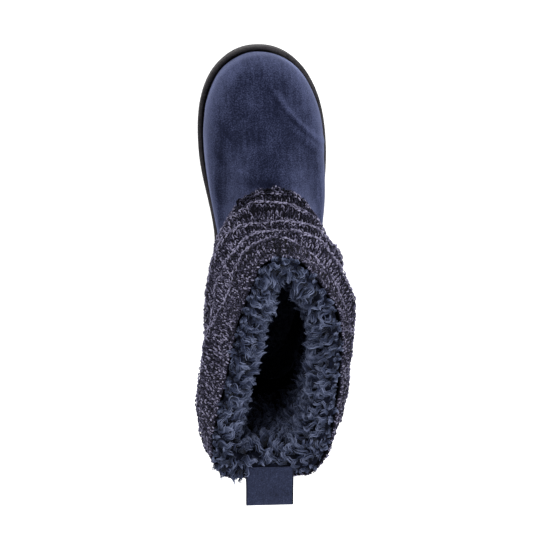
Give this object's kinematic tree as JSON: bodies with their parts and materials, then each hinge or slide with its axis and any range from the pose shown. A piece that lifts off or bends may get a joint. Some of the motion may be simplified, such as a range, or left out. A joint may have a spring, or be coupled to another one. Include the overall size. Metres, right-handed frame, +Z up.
{
  "type": "knit-shaft winter boot",
  "caption": "Right winter boot: suede foot, slouched knit shaft, deep fleece lining, moulded rubber sole and a suede pull tab.",
  "frame": {"origin": "on the floor, at the middle of the heel's flat resting spot", "axes": "+Z up, +Y towards the toe, +X towards the wearer's right, which is the lateral side of this right boot"},
  "size_m": [0.1217, 0.3112, 0.2514],
  "materials": {
    "rubber": "moulded matt black, fine grain",
    "footbed": "short blue-grey pile",
    "suede": "navy suede with a soft nap",
    "knit": "marled charcoal and lavender-grey yarn, ribbed",
    "fleece": "curly blue-grey fleece pile",
    "tab_suede": "navy suede, edge-stitched"
  },
  "bodies": {
    "root": {"outsole": "rubber", "insole": "footbed", "upper": "suede", "knit_shaft": "knit", "fleece_lining": "fleece", "pull_tab": "tab_suede"}
  },
  "joints": []
}
